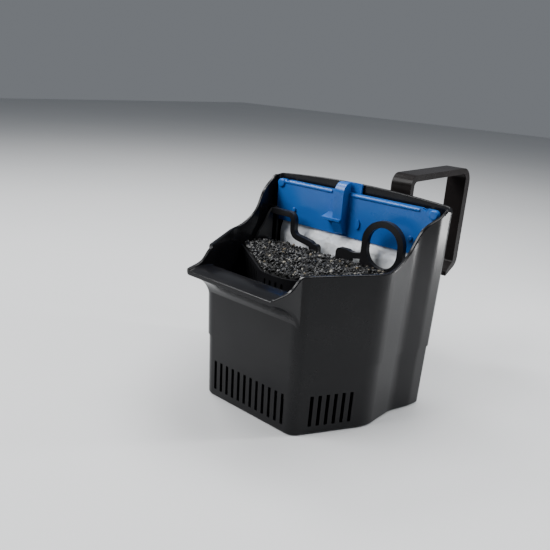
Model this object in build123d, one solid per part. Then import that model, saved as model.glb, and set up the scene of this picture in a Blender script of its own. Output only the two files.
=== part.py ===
from build123d import *
import math
import os

# Internal power filter for an aquarium: an open tub with a front spillway, a pump base under it,
# a lift-out floss cartridge, a lift-out scrubber basket and a strap that hooks over the tank's rim.
# Millimetres. +Z is up, the spillway faces -Y, and the origin is the middle of the flat underside.

# ---- body ----
WALL = 2.4                     # shell thickness
DRAFT = math.radians(1.3)      # lean of the side and front walls
BACK_Y = 58.0                  # outer face of the back wall
BACK_HALF = 77.8               # half width at the back wall
FLARE_Y = 43.5                 # where the back wings begin to turn in
FLARE_HALF = 75.4              # half width there
SIDE_Y = 27.0                  # where the side wall becomes straight
SIDE_HALF = 70.0               # half width of the straight side wall
SIDE_END_Y = -2.2              # where the side wall turns into the diagonal wall
FRONT_HALF = 41.5              # half width of the front wall
FRONT_Y = -53.0                # outer face of the front wall
SEAM_Z = 46.0                  # joint between the tub and the base
LEDGE = 0.8                    # how far the tub overhangs the base
FLOOR_Z = 48.6                 # top of the tub's floor
DRAFT_Z = 150.0                # height at which the outline has its full size
CROWN_MID_Z = 148.5            # back wall's top edge at the middle
CROWN_END_Z = 144.6            # and at the ends
CROWN_CORNER = 7.0
RIM_ROUND = 0.6
CREASE_ROUND = 2.0             # where the scoop meets the front wall

# ---- rim, seen from the side (Y, Z) ----
RIM_BACK = (50.5, 143.6)
RIM_RISE = (0.69, 0.73)        # its direction there, backwards and up
RIM_FRONT = (-8.0, 108.6)
CHEEK = (-45.5, 109.3)
CHEEK_STEP = (-58.5, 101.6)
LIP = (-72.0, 98.4)

# ---- spillway ----
SPILL_HALF = 40.8              # half width at the front wall
LIP_HALF = 37.5                # half width at the lip
SPILL_ROOT_Z = 74.0            # where the scoop leaves the front wall
CREST = (-55.0, 97.2)
LIP_THICK = 2.2

# ---- rear plenum and bracket guides ----
PLENUM_HALF = 56.0
PLENUM_Y = 62.4
PLENUM_LOW = 51.0
PLENUM_HIGH = 133.0
GUIDE_X = 32.2                 # bracket guides are at +X and -X
GUIDE_LOW = 78.0
GUIDE_HIGH = 131.0
GUIDE_LIP = 2.6

# ---- hanging bracket ----
STRAP_W = 16.0
STRAP_T = 4.6
STRAP_TOP_Z = 159.5
STRAP_OUTER_Y = 157.5
OUTER_LEG_T = 7.6
INNER_LEG_END_Z = 84.0
OUTER_LEG_END_Z = 75.0
FOOT_REACH = 17.0
SLIDE_GAP = 0.3

# ---- cartridge ----
PANEL_Y = 50.0                 # front face of the blue frame
PANEL_T = 1.9
PANEL_HALF = 70.0
PANEL_TOP = 142.0
PANEL_LOW = 109.2
BAG_TOP_T = 1.0
BAG_HALF = 65.0
BAG_LOW = 59.0
BAG_Y = 46.4                   # front face of the pouch
BAG_T = 8.0
BAG_SKIN = 2.2                 # floss on each side of the carbon
STRAP_X = (-9.5, -1.5)         # the clip strap of the frame
STRAP_FRONT_Y = 42.2
CLIP_TOP = 149.0
PIP_X = 51.8
PIP_Z = 119.6
OVAL_X = 8.3
OVAL_Z = 120.3
BEAD_R = 1.5

# ---- guide rails for the bag ----
RAIL_Y = 42.0
RAIL_T = 2.4
RAIL_HALF = 66.2
RAIL_TOP = 121.0

# ---- scrubber ----
ARM_Y = 38.0                   # middle plane of the arm and the pull ring
ARM_T = 4.2
ARM_W = 4.4
RING_X = 38.7
RING_Z = 113.8
RING_R = 16.6
RING_BAR = 4.6
RING_DROP = 5.0                # straight stretch between the ring's two round ends
BASKET_LOW = 59.0
BASKET_T = 2.0
MEDIA_TOP = 97.0
MEDIA_GAP = 1.4
MEDIA_PLAY = 0.2               # between the media and the curtain
MEDIA_NOSE_Y = -29.0
MEDIA_STEP_Y = 8.0             # where the nose meets the side walls
CURTAIN_T = 1.6
CURTAIN_TOP = 95.0
CURTAIN_SLOT = 1.6
BASKET_BACK_Y = 35.6
RAIL_LOW = 86.0

# ---- pump ----
AXIS_Y = 33.0
AXIS_Z = 23.0
CASE_X = (-24.0, 10.0)
CASE_Y = (-10.0, 51.0)
CASE_Z = (5.0, 41.0)
CASE_WALL = 1.8
CAN_R = 7.6
CAN_WALL = 0.8
MAGNET_R = 6.3
MAGNET_X = (-14.5, 1.5)
SHAFT_R = 1.25
RUN_CLEAR = 0.06               # radial clearance of the rotor on its shaft
CORE_X = (-14.0, 0.0)
YOKE_Y = (-2.0, 6.0)
POLE_IN = 6.0
POLE_OUT = 13.5
COVER_R = 18.0
CHAMBER_R = 15.0
COVER_X = (10.0, 28.0)
IMPELLER_R = 12.6
INLET_R = 6.5
OUTLET_X = 19.0
OUTLET_R = 6.0
OUTLET_BORE = 4.6
OUTLET_Y = AXIS_Y + 9.4
OUTLET_TOP = 52.0
RISER_SEAL_R = 8.0             # hole in the tub's floor that the riser's seal fills
DUCT_TOP = 57.0
SHAFT_X = (-17.4, 27.2)        # the shaft's two blind ends
FLANGE_T = 0.9                 # bobbin flanges
FLANGE_GAP = 0.2

# ---- base ----
BASE_FLOOR = 2.5
SLOT_W = 2.4
SLOT_Z = (6.0, 28.0)
SLOT_PITCH = 5.6
SCREW_AT = ((58.0, 30.0), (58.0, 2.0))
SCREW_R = 1.4
HEAD_R = 2.9
POST_R = 4.0                   # screw posts of the base and of the tub
SCREEN_Y = FRONT_Y + 9.0       # front face of the intake screen
SCREEN_T = 1.4
CUP_X = 44.0
CUP_Z = 25.0
CUP_NECK_R = 3.0

# ---- cord gland ----
CORD_X = -14.0
CORD_Z = 33.0
CORD_R = 1.9
GLAND_HALF = 3.4               # half width of the gland's square neck


def between(x, y, z):
    """Box from three (low, high) pairs."""
    size = [high - low for low, high in (x, y, z)]
    middle = [(low + high) / 2 for low, high in (x, y, z)]
    return Pos(*middle) * Box(*size)


def rod_x(radius, x, y, z):
    """Cylinder along X between the two values of x."""
    return Pos((x[0] + x[1]) / 2, y, z) * Rot(0, 90, 0) * Cylinder(radius, x[1] - x[0])


def rod_y(radius, x, y, z):
    """Cylinder along Y between the two values of y."""
    return Pos(x, (y[0] + y[1]) / 2, z) * Rot(90, 0, 0) * Cylinder(radius, y[1] - y[0])


def rod_z(radius, x, y, z):
    """Cylinder along Z between the two values of z."""
    return Pos(x, y, (z[0] + z[1]) / 2) * Cylinder(radius, z[1] - z[0])


def side_profile(edges, half_width):
    """Face drawn in Y and Z, extruded both ways along X."""
    return extrude(make_face(edges), half_width, both=True)


def moved_corner(corner, before, after, d_before, d_after):
    """Corner of a polygon after its two edges move inwards by their own distances."""
    def edge(p, q, d):
        length = math.hypot(q[0] - p[0], q[1] - p[1])
        nx, ny = (q[1] - p[1]) / length, -(q[0] - p[0]) / length
        return nx, ny, nx * p[0] + ny * p[1] - d

    ax, ay, a = edge(before, corner, d_before)
    bx, by, b = edge(corner, after, d_after)
    det = ax * by - ay * bx
    return ((a * by - ay * b) / det, (ax * b - a * bx) / det)


def plan(z, inset=0.0, back_inset=None):
    """Outline of the body at one height, as a face. The back wall has no draft."""
    d = inset + (DRAFT_Z - z) * math.tan(DRAFT)
    back = inset if back_inset is None else back_inset
    right = [
        (FRONT_HALF, FRONT_Y),
        (SIDE_HALF, SIDE_END_Y),
        (SIDE_HALF, SIDE_Y),
        (FLARE_HALF, FLARE_Y),
        (BACK_HALF, BACK_Y),
    ]
    radii = [10.0 - inset, 26.0 - inset, 26.0 + inset, 22.0 - inset, max(4.5 - inset, 0.8)]
    left = [(-x, y) for x, y in reversed(right)]
    loop = right + left
    moves = [d] * 4 + [back] + [d] * 5
    corners = []
    for i, corner in enumerate(loop):
        before, after = loop[i - 1], loop[(i + 1) % len(loop)]
        corners.append(moved_corner(corner, before, after, moves[i - 1], moves[i]))
    outline = FilletPolyline(*corners, radius=radii + radii[::-1], close=True)
    return Pos(0, 0, z) * make_face(outline)


def drafted(z_low, z_high, inset=0.0, back_inset=None):
    """Solid of the body's outline between two heights, leaning with the draft."""
    return loft([plan(z_low, inset, back_inset), plan(z_high, inset, back_inset)], ruled=True)


def above_rim():
    """Everything above the side rims and the spillway's cheeks."""
    sky = 175.0
    peak = (RIM_BACK[0] + 20 * RIM_RISE[0], RIM_BACK[1] + 20 * RIM_RISE[1])
    rim = Spline(
        (0, *RIM_BACK), (0, 32.5, 133.0), (0, 22.5, 119.5), (0, 10.0, 111.4), (0, *RIM_FRONT),
        tangents=[(0, -RIM_RISE[0], -RIM_RISE[1]), (0, -1, 0)],
    )
    flat = Line((0, *RIM_FRONT), (0, *CHEEK))
    cheek = Spline(
        (0, *CHEEK), (0, *CHEEK_STEP), (0, *LIP),
        tangents=[(0, -1, 0), (0, -0.95, -0.3)],
    )
    out = Polyline((0, *LIP), (0, -95, 96.0), (0, -95, sky), (0, peak[0], sky), (0, *peak), (0, *RIM_BACK))
    return side_profile(Curve() + [rim, flat, cheek, out], 90.0)


def below_crown():
    """Everything below the crowned top of the back wall and its rounded corners."""
    half = BACK_HALF + 0.2
    crown = ThreePointArc((-half, 0, CROWN_END_Z), (0, 0, CROWN_MID_Z), (half, 0, CROWN_END_Z))
    under = Polyline((half, 0, CROWN_END_Z), (half, 0, -5), (-half, 0, -5), (-half, 0, CROWN_END_Z))
    body = extrude(make_face(Curve() + [crown, under]), 100.0, both=True)
    corners = body.edges().filter_by(Axis.Y).group_by(Axis.Z)[-1]
    return fillet(corners, CROWN_CORNER)


def is_rim(face):
    """Whether a face of the tub is part of the rim or the spillway's crest."""
    box = face.bounding_box()
    on_plenum = box.max.Z < CROWN_END_Z - 10 and box.min.Y > BACK_Y - 1
    return box.min.Z > CREST[1] - 1.7 and face.normal_at(face.center()).Z > 0.15 and not on_plenum


def rim_edges(tub):
    """Edges along the rim and the crest, without the crest's middle line."""
    edges = {}
    for face in tub.faces():
        if is_rim(face):
            for edge in face.edges():
                middle = edge.center()
                if abs(middle.X) > 1 or middle.Y > FRONT_Y or middle.Y < LIP[0] + 1:
                    edges[(round(middle.X, 3), round(middle.Y, 3), round(middle.Z, 3))] = edge
    return list(edges.values())


def crease_edges(tub):
    """Curved creases where the scoop's two sides meet the front wall."""
    near = [e for e in tub.edges() if e.center().Y < FRONT_Y + 1 and e.length > 3]
    return [e for e in near if SPILL_ROOT_Z < e.center().Z < LIP[1] - 6 and abs(e.center().X) > 1]


def wedge(half_back, half_front, y_back, y_front, z_low, z_high):
    """Block that narrows towards the front."""
    points = [(half_back, y_back), (half_front, y_front), (-half_front, y_front), (-half_back, y_back)]
    face = make_face(Polyline(*points, close=True))
    return Pos(0, 0, z_low) * extrude(face, z_high - z_low)


def scoop_outside():
    """Body of the spillway, from the front wall to the lip."""
    under = Spline(
        (0, FRONT_Y + 3, SPILL_ROOT_Z), (0, -60.5, 88.5), (0, LIP[0], LIP[1] - 4.2),
        tangents=[(0, -0.25, 1), (0, -1, 0.35)],
    )
    rest = Polyline(
        (0, LIP[0], LIP[1] - 4.2), (0, LIP[0], 120), (0, FRONT_Y + 3, 120), (0, FRONT_Y + 3, SPILL_ROOT_Z)
    )
    body = side_profile(Curve() + [under, rest], 60.0)
    return body & wedge(SPILL_HALF, LIP_HALF, FRONT_Y + 8, LIP[0], 60, 130)


def scoop_channel():
    """Water way through the front wall and over the crest to the lip."""
    bed = Spline(
        (0, FRONT_Y + 7, 95.2), (0, *CREST), (0, LIP[0] - 1, LIP[1] - 4.2 + LIP_THICK),
        tangents=[(0, -1, 0.4), (0, -1, -0.35)],
    )
    rest = Polyline(
        (0, LIP[0] - 1, LIP[1] - 4.2 + LIP_THICK), (0, LIP[0] - 1, 130), (0, FRONT_Y + 7, 130),
        (0, FRONT_Y + 7, 95.2),
    )
    body = side_profile(Curve() + [bed, rest], 60.0)
    return body & wedge(SPILL_HALF - WALL, LIP_HALF - WALL, FRONT_Y + 8, LIP[0] - 2, 60, 135)


def plenum(inset):
    """Raised panel on the back wall that carries water up behind the bag."""
    half = PLENUM_HALF - inset
    block = between((-half, half), (BACK_Y - 4, PLENUM_Y - inset), (PLENUM_LOW + inset, PLENUM_HIGH - inset))
    edges = block.edges().filter_by(Axis.X).group_by(Axis.Y)[-1].sort_by(Axis.Z)
    return chamfer(edges, 3.6)


def bracket_guide(x):
    """Channel that holds one leg of the hanging bracket against the back."""
    half = STRAP_W / 2 + SLIDE_GAP
    deep = PLENUM_Y + STRAP_T + 2 * SLIDE_GAP
    outside = between((x - half - 2.4, x + half + 2.4), (PLENUM_Y - 1, deep + 2.2), (GUIDE_LOW, GUIDE_HIGH))
    leg_room = between((x - half, x + half), (PLENUM_Y, deep), (GUIDE_LOW - 1, GUIDE_HIGH + 1))
    window = between((x - half + GUIDE_LIP, x + half - GUIDE_LIP), (deep - 1, deep + 3),
                     (GUIDE_LOW - 1, GUIDE_HIGH + 1))
    guide = outside - leg_room - window
    return chamfer(guide.edges().filter_by(Axis.Z).group_by(Axis.Y)[-1], 0.6)


def bag_rails():
    """Upright ribs in front of the bag's two edges."""
    rails = Part()
    for side in (-1, 1):
        x = sorted((side * (RAIL_HALF - 3.6), side * (BACK_HALF + 2)))
        rib = between(x, (RAIL_Y, RAIL_Y + RAIL_T), (FLOOR_Z - 1, RAIL_TOP))
        inner_top = rib.edges().filter_by(Axis.Y).group_by(Axis.Z)[-1].sort_by(Axis.X)
        rails += fillet(inner_top[0 if side > 0 else -1], 2.5)
    return rails


def basket_rests():
    """Low ribs on the floor that hold the basket and the bag off it."""
    rests = Part()
    under_basket = (FLOOR_Z - 1, BASKET_LOW - 0.4)
    for side in (-1, 1):
        for y in (-30.0, 12.0):
            rests += between(sorted((side * 30.0, side * 33.0)), (y - 8, y + 8), under_basket)
        rests += between(sorted((side * 50.0, side * 53.0)), (45.0, 57.0), (FLOOR_Z - 1, BAG_LOW - 0.4))
    return rests


def screw_bosses():
    """Posts under the tub's floor that the base screws bite into."""
    posts = Part()
    for x, y in screw_places():
        posts += rod_z(POST_R, x, y, (37.0, FLOOR_Z - 1))
    return posts


def screw_places():
    return [(side * x, y) for x, y in SCREW_AT for side in (-1, 1)]


def make_filter_tub():
    shell = drafted(SEAM_Z, 152.0) + scoop_outside() + plenum(0)
    hollow = drafted(FLOOR_Z, 153.0, WALL) + plenum(WALL)
    tub = (shell - hollow - scoop_channel() - above_rim()) & below_crown()
    tub = fillet(rim_edges(tub), RIM_ROUND)
    tub = fillet(crease_edges(tub), CREASE_ROUND)
    inside = drafted(FLOOR_Z - 1, 150.0, WALL - 0.6, WALL - 0.6)
    tub += (bag_rails() + basket_rests()) & inside
    skirt = drafted(SEAM_Z - 3.5, SEAM_Z + 1, WALL + LEDGE + 0.2)
    skirt -= drafted(SEAM_Z - 4, SEAM_Z + 2, WALL + LEDGE + 1.8)
    tub += skirt + screw_bosses()
    for x in (-GUIDE_X, GUIDE_X):
        tub += bracket_guide(x)
    for x, y in screw_places():
        tub -= rod_z(SCREW_R, x, y, (36.0, FLOOR_Z - 2.2))
    tub -= rod_z(RISER_SEAL_R, OUTLET_X, OUTLET_Y, (SEAM_Z - 2, FLOOR_Z + 1))
    return tub


def slot_row(count, pitch):
    """Upright intake slots, side by side along X, centred on Y = 0."""
    tool = Part()
    for i in range(count):
        x = (i - (count - 1) / 2) * pitch
        tool += between((x - SLOT_W / 2, x + SLOT_W / 2), (-5, 5), SLOT_Z)
    return tool


def intake_slots():
    """Slots through the front wall and both diagonal walls of the base."""
    tool = Pos(0, FRONT_Y + 4, 0) * slot_row(12, SLOT_PITCH)
    turn = math.degrees(math.atan2(SIDE_END_Y - FRONT_Y, SIDE_HALF - FRONT_HALF))
    middle_x = (SIDE_HALF + FRONT_HALF) / 2 - 2.6
    middle_y = (SIDE_END_Y + FRONT_Y) / 2 + 1.6
    for side in (-1, 1):
        tool += Pos(side * middle_x, middle_y, 0) * Rot(0, 0, side * turn) * slot_row(6, SLOT_PITCH)
    return tool


def make_base_housing():
    base = drafted(0, SEAM_Z, LEDGE)
    foot = base.faces().sort_by(Axis.Z)[0].edges()
    base = fillet(foot, 1.6)
    base -= drafted(BASE_FLOOR, SEAM_Z + 1, WALL + LEDGE)
    inside = drafted(1, SEAM_Z - 4, WALL + LEDGE - 0.5)
    for side in (-1, 1):
        x = sorted((side * 35.6, side * 40.0))
        groove = between(x, (SCREEN_Y - 3.5, SCREEN_Y + 3.2), (1, 41))
        play = (SCREEN_Y - 0.2, SCREEN_Y + SCREEN_T + 0.2)
        slot = between(sorted((side * 34.0, side * 37.4)), play, (0, 42))
        base += (groove - slot) & inside
    for x, y in screw_places():
        base += rod_z(POST_R, x, y, (1, 36.8)) & inside
        base -= rod_z(SCREW_R + 0.2, x, y, (-1, 40))
        base -= rod_z(HEAD_R + 0.2, x, y, (-1, 30))
    base -= intake_slots()
    base -= gland_neck(0.2, (40, 70))
    for x in (-CUP_X, CUP_X):
        base -= rod_y(CUP_NECK_R, x, (50, 70), CUP_Z)
    return base


def make_base_screws():
    screws = []
    for x, y in screw_places():
        screw = rod_z(SCREW_R, x, y, (29.0, 45.6)) + rod_z(HEAD_R, x, y, (27.8, 30.0))
        screw += Pos(x, y, 45.9) * Cone(SCREW_R, 0.4, 0.6)
        drive = between((x - 0.5, x + 0.5), (y - 2, y + 2), (27, 28.8))
        screws.append(screw - drive)
    return Compound(screws)


def make_intake_screen():
    screen = between((-37.0, 37.0), (SCREEN_Y, SCREEN_Y + SCREEN_T), (BASE_FLOOR + 0.1, 41.0))
    through = (SCREEN_Y - 1, SCREEN_Y + 3)
    for i in range(23):
        x = (i - 11) * 3.0
        for z in ((6.0, 21.0), (23.0, 38.0)):
            screen -= between((x - 0.8, x + 0.8), through, z)
    return screen


def rounded_box(x, y, z, radius):
    block = between(x, y, z)
    return fillet(block.edges().filter_by(Axis.X), radius)


def make_pump_case():
    case = rounded_box(CASE_X, CASE_Y, CASE_Z, 5.0)
    inner_y = (CASE_Y[0] + CASE_WALL, CASE_Y[1] - CASE_WALL)
    inner_z = (CASE_Z[0] + CASE_WALL, CASE_Z[1] - CASE_WALL)
    case -= rounded_box((CASE_X[0] - 1, CASE_X[1] - 2), inner_y, inner_z, 3.4)
    case += rod_x(CAN_R, (CASE_X[0] + 5, CASE_X[1] - 1), AXIS_Y, AXIS_Z)
    case -= rod_x(CAN_R - CAN_WALL, (CASE_X[0] + 6, CASE_X[1] + 1), AXIS_Y, AXIS_Z)
    for z in cover_screw_heights():
        case += rod_x(2.6, (CASE_X[1] - 8, CASE_X[1] - 1), cover_screw_y(), z)
        case -= rod_x(1.1, (CASE_X[1] - 7, CASE_X[1] + 1), cover_screw_y(), z)
    return case - rod_y(2.9, CORD_X, (45, 55), CORD_Z)


def cover_screw_y():
    return AXIS_Y - COVER_R - 2.6


def cover_screw_heights():
    return (AXIS_Z - 9.0, AXIS_Z + 9.0)


def make_pump_end_cap():
    plate = rounded_box((CASE_X[0] - 2.0, CASE_X[0]), CASE_Y, CASE_Z, 5.0)
    inner_y = (CASE_Y[0] + CASE_WALL + 0.1, CASE_Y[1] - CASE_WALL - 0.1)
    inner_z = (CASE_Z[0] + CASE_WALL + 0.1, CASE_Z[1] - CASE_WALL - 0.1)
    lip = rounded_box((CASE_X[0] - 0.5, CASE_X[0] + 2.0), inner_y, inner_z, 3.3)
    hollow_y = (inner_y[0] + 1.4, inner_y[1] - 1.4)
    hollow_z = (inner_z[0] + 1.4, inner_z[1] - 1.4)
    lip -= rounded_box((CASE_X[0], CASE_X[0] + 3.0), hollow_y, hollow_z, 2.0)
    return plate + lip


def make_stator_core():
    core = Part()
    for side in (-1, 1):
        z = sorted((AXIS_Z + side * POLE_IN, AXIS_Z + side * POLE_OUT))
        core += between(CORE_X, (YOKE_Y[0], AXIS_Y + 9.0), z)
    core += between(CORE_X, YOKE_Y, (AXIS_Z - POLE_OUT, AXIS_Z + POLE_OUT))
    core -= rod_x(CAN_R + 0.2, (CORE_X[0] - 1, CORE_X[1] + 1), AXIS_Y, AXIS_Z)
    return core


def yoke_block(grow, z):
    """Block round the core's yoke, larger by grow on all four sides."""
    return between((CORE_X[0] - grow, CORE_X[1] + grow), (YOKE_Y[0] - grow, YOKE_Y[1] + grow), z)


def ring_block(grow_in, grow_out, z):
    """Rectangular tube round the core's yoke."""
    outside = yoke_block(grow_out, z)
    outside = fillet(outside.edges().filter_by(Axis.Z), grow_out * 0.5)
    return outside - yoke_block(grow_in, (z[0] - 1, z[1] + 1))


def bobbin_heights(inset):
    half = POLE_IN - FLANGE_GAP - inset
    return AXIS_Z - half, AXIS_Z + half


def make_coil_bobbin():
    low, high = bobbin_heights(0)
    bobbin = ring_block(0.2, 1.0, (low, high))
    bobbin += ring_block(0.2, 5.2, (low, low + FLANGE_T))
    bobbin += ring_block(0.2, 5.2, (high - FLANGE_T, high))
    return bobbin


def make_stator_coil():
    return ring_block(1.0, 4.8, bobbin_heights(FLANGE_T))


def gland_neck(grow, y):
    """Square block round the cord, so that the gland can't twist in its hole."""
    half = GLAND_HALF + grow
    return between((CORD_X - half, CORD_X + half), y, (CORD_Z - half, CORD_Z + half))


def make_cord_gland():
    x, z = CORD_X, CORD_Z
    gland = rod_y(2.9, x, (CASE_Y[1] - 3.0, CASE_Y[1] + 0.5), z)
    gland += rod_y(4.6, x, (CASE_Y[1], CASE_Y[1] + 1.6), z)
    gland += gland_neck(0, (CASE_Y[1] + 1.5, BACK_Y + 1.5))
    gland += rod_y(GLAND_HALF, x, (BACK_Y + 1.0, BACK_Y + 5.0), z)
    gland = fillet(gland.faces().sort_by(Axis.Y)[-1].edges(), 0.8)
    return gland - rod_y(CORD_R, x, (CASE_Y[1] - 4.0, BACK_Y + 7.0), z)


def make_volute_cover():
    cover = rod_x(COVER_R, COVER_X, AXIS_Y, AXIS_Z)
    cover = fillet(cover.faces().sort_by(Axis.X)[-1].edges(), 1.5)
    cover += rod_z(OUTLET_R, OUTLET_X, OUTLET_Y, (AXIS_Z, OUTLET_TOP))
    cover -= rod_x(CHAMBER_R, (COVER_X[0] - 1, COVER_X[1] - 2.0), AXIS_Y, AXIS_Z)
    cover -= rod_z(OUTLET_BORE, OUTLET_X, OUTLET_Y, (AXIS_Z, OUTLET_TOP + 1))
    cover -= rod_x(INLET_R, (COVER_X[1] - 4, COVER_X[1] + 3), AXIS_Y, AXIS_Z)
    for angle in range(0, 180, 60):
        bar = between((COVER_X[1] - 2.0, COVER_X[1]), (-INLET_R - 1, INLET_R + 1), (-0.8, 0.8))
        cover += Pos(0, AXIS_Y, AXIS_Z) * Rot(angle, 0, 0) * bar
    cover += rod_x(3.2, (COVER_X[1] - 4.0, COVER_X[1] + 1.5), AXIS_Y, AXIS_Z)
    cover -= rod_x(2.2, (COVER_X[1] - 5.0, COVER_X[1]), AXIS_Y, AXIS_Z)
    groove = rod_x(17.3, (COVER_X[0] - 1, COVER_X[0] + 1.5), AXIS_Y, AXIS_Z)
    groove -= rod_x(15.7, (COVER_X[0] - 1, COVER_X[0] + 1.5), AXIS_Y, AXIS_Z)
    cover -= groove
    tab_x = (COVER_X[0], COVER_X[0] + 2.4)
    for z in cover_screw_heights():
        tab = between(tab_x, (cover_screw_y(), cover_screw_y() + 7.0), (z - 2.6, z + 2.6))
        tab += rod_x(2.6, tab_x, cover_screw_y(), z)
        tab -= rod_x(COVER_R - 0.5, (COVER_X[0] - 1, COVER_X[0] + 4), AXIS_Y, AXIS_Z)
        cover += tab
        cover -= rod_x(1.3, (COVER_X[0] - 1, COVER_X[0] + 4), cover_screw_y(), z)
    return cover


def make_cover_screws():
    screws = []
    for z in cover_screw_heights():
        screw = rod_x(1.1, (CASE_X[1] - 6.0, COVER_X[0] + 2.6), cover_screw_y(), z)
        screw += rod_x(2.1, (COVER_X[0] + 2.4, COVER_X[0] + 4.0), cover_screw_y(), z)
        across = (cover_screw_y() - 3, cover_screw_y() + 3)
        screws.append(screw - between((COVER_X[0] + 3.3, COVER_X[0] + 5), across, (z - 0.3, z + 0.3)))
    return Compound(screws)


def make_volute_seal():
    return Pos(COVER_X[0] + 0.75, AXIS_Y, AXIS_Z) * Rot(0, 90, 0) * Torus(16.5, 0.7)


def make_front_bush():
    bush = rod_x(2.2, (COVER_X[1] - 4.0, COVER_X[1]), AXIS_Y, AXIS_Z)
    return bush - rod_x(SHAFT_R, (COVER_X[1] - 5.0, SHAFT_X[1]), AXIS_Y, AXIS_Z)


def make_rear_bush():
    x = CASE_X[0] + 6
    bush = rod_x(CAN_R - CAN_WALL, (x, x + 2.4), AXIS_Y, AXIS_Z)
    return bush - rod_x(SHAFT_R, (SHAFT_X[0], x + 4.0), AXIS_Y, AXIS_Z)


def make_impeller_shaft():
    return rod_x(SHAFT_R, SHAFT_X, AXIS_Y, AXIS_Z)


def make_thrust_washers():
    washers = []
    for x in (MAGNET_X[0] - 0.9, COVER_X[1] - 5.2):
        washer = rod_x(2.6, (x, x + 0.7), AXIS_Y, AXIS_Z)
        washers.append(washer - rod_x(SHAFT_R, (x - 1, x + 2), AXIS_Y, AXIS_Z))
    return Compound(washers)


def make_rotor_magnet():
    magnet = rod_x(MAGNET_R, MAGNET_X, AXIS_Y, AXIS_Z)
    magnet = chamfer(magnet.edges(), 0.5)
    return magnet - rod_x(SHAFT_R + RUN_CLEAR, (MAGNET_X[0] - 1, MAGNET_X[1] + 1), AXIS_Y, AXIS_Z)


def make_impeller():
    hub = rod_x(3.4, (MAGNET_X[1], COVER_X[1] - 5.6), AXIS_Y, AXIS_Z)
    hub += rod_x(IMPELLER_R, (COVER_X[0] + 1.4, COVER_X[0] + 2.6), AXIS_Y, AXIS_Z)
    for angle in range(0, 360, 60):
        blade = between((COVER_X[0] + 2.4, COVER_X[1] - 6.0), (-0.7, 0.7), (2.6, IMPELLER_R))
        hub += Pos(0, AXIS_Y, AXIS_Z) * Rot(angle, 0, 0) * blade
    return hub - rod_x(SHAFT_R + RUN_CLEAR, (MAGNET_X[1] - 1, COVER_X[1]), AXIS_Y, AXIS_Z)


def make_riser_seal():
    seal = rod_z(RISER_SEAL_R, OUTLET_X, OUTLET_Y, (SEAM_Z, FLOOR_Z))
    seal += rod_z(RISER_SEAL_R + 1.6, OUTLET_X, OUTLET_Y, (SEAM_Z - 1.6, SEAM_Z))
    return seal - rod_z(OUTLET_R, OUTLET_X, OUTLET_Y, (SEAM_Z - 3, FLOOR_Z + 1))


def make_outlet_duct():
    low, high = FLOOR_Z, DUCT_TOP
    rear = BACK_Y - WALL - 0.3
    duct = between((OUTLET_X - 11, OUTLET_X + 11), (OUTLET_Y - 8.6, rear), (low, high))
    edges = duct.edges().filter_by(Axis.X).group_by(Axis.Y)[0].sort_by(Axis.Z)
    duct = fillet(edges[-1], 3.0)
    duct -= between((OUTLET_X - 9.2, OUTLET_X + 9.2), (OUTLET_Y - 7.0, rear + 1), (low - 1, high - 1.8))
    return duct - between((OUTLET_X - 9.2, OUTLET_X + 9.2), (OUTLET_Y + 7.4, rear + 1), (low, high + 1))


def make_pump_pads():
    pads = []
    for x in (CASE_X[0] + 5, CASE_X[1] - 5):
        for y in (CASE_Y[0] + 7, CASE_Y[1] - 7):
            pads.append(chamfer(rod_z(3.5, x, y, (BASE_FLOOR, CASE_Z[0])).edges().group_by(Axis.Z)[-1], 0.4))
    return Compound(pads)


def make_suction_cups():
    """Two rubber cups whose necks snap into holes low on the back of the base."""
    cups = []
    for x in (-CUP_X, CUP_X):
        profile = Polyline(
            (0, -5.0), (3.4, -5.0), (4.2, -4.0), (4.2, -WALL), (CUP_NECK_R, -WALL), (CUP_NECK_R, 0), (5.2, 0),
            (5.2, 1.4), (10.5, 3.4), (14.0, 7.0), (13.4, 7.4), (9.0, 4.8), (4.0, 3.6), (0, 3.4), close=True,
        )
        cup = revolve(make_face(profile), Axis.Y)
        cups.append(Pos(x, BACK_Y - LEDGE, CUP_Z) * cup)
    return Compound(cups)


def make_hanging_bracket():
    """Strap bent over the tank's rim, thin inside the tank and thick outside it."""
    inner_y = PLENUM_Y + SLIDE_GAP
    outside = FilletPolyline(
        (0, inner_y, INNER_LEG_END_Z), (0, inner_y, STRAP_TOP_Z), (0, STRAP_OUTER_Y, STRAP_TOP_Z),
        (0, STRAP_OUTER_Y, OUTER_LEG_END_Z + 4), (0, STRAP_OUTER_Y - FOOT_REACH, OUTER_LEG_END_Z - 4),
        radius=[8.0, 13.0, 9.0],
    )
    inside = FilletPolyline(
        (0, STRAP_OUTER_Y - FOOT_REACH, OUTER_LEG_END_Z - 4),
        (0, STRAP_OUTER_Y - FOOT_REACH, OUTER_LEG_END_Z),
        (0, STRAP_OUTER_Y - OUTER_LEG_T, OUTER_LEG_END_Z + 7),
        (0, STRAP_OUTER_Y - OUTER_LEG_T, STRAP_TOP_Z - STRAP_T),
        (0, inner_y + STRAP_T, STRAP_TOP_Z - STRAP_T), (0, inner_y + STRAP_T, INNER_LEG_END_Z),
        radius=[1.0, 3.0, 5.0, 3.5],
    )
    end = Line((0, inner_y + STRAP_T, INNER_LEG_END_Z), (0, inner_y, INNER_LEG_END_Z))
    strap = Pos(GUIDE_X, 0, 0) * side_profile(Curve() + [outside, inside, end], STRAP_W / 2)
    channel = between(
        (GUIDE_X - 5.4, GUIDE_X + 5.4), (STRAP_OUTER_Y - 3.6, STRAP_OUTER_Y + 1),
        (OUTER_LEG_END_Z + 12, STRAP_TOP_Z - 14),
    )
    strap -= fillet(channel.edges().filter_by(Axis.Y), 2.0)
    return strap


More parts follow.
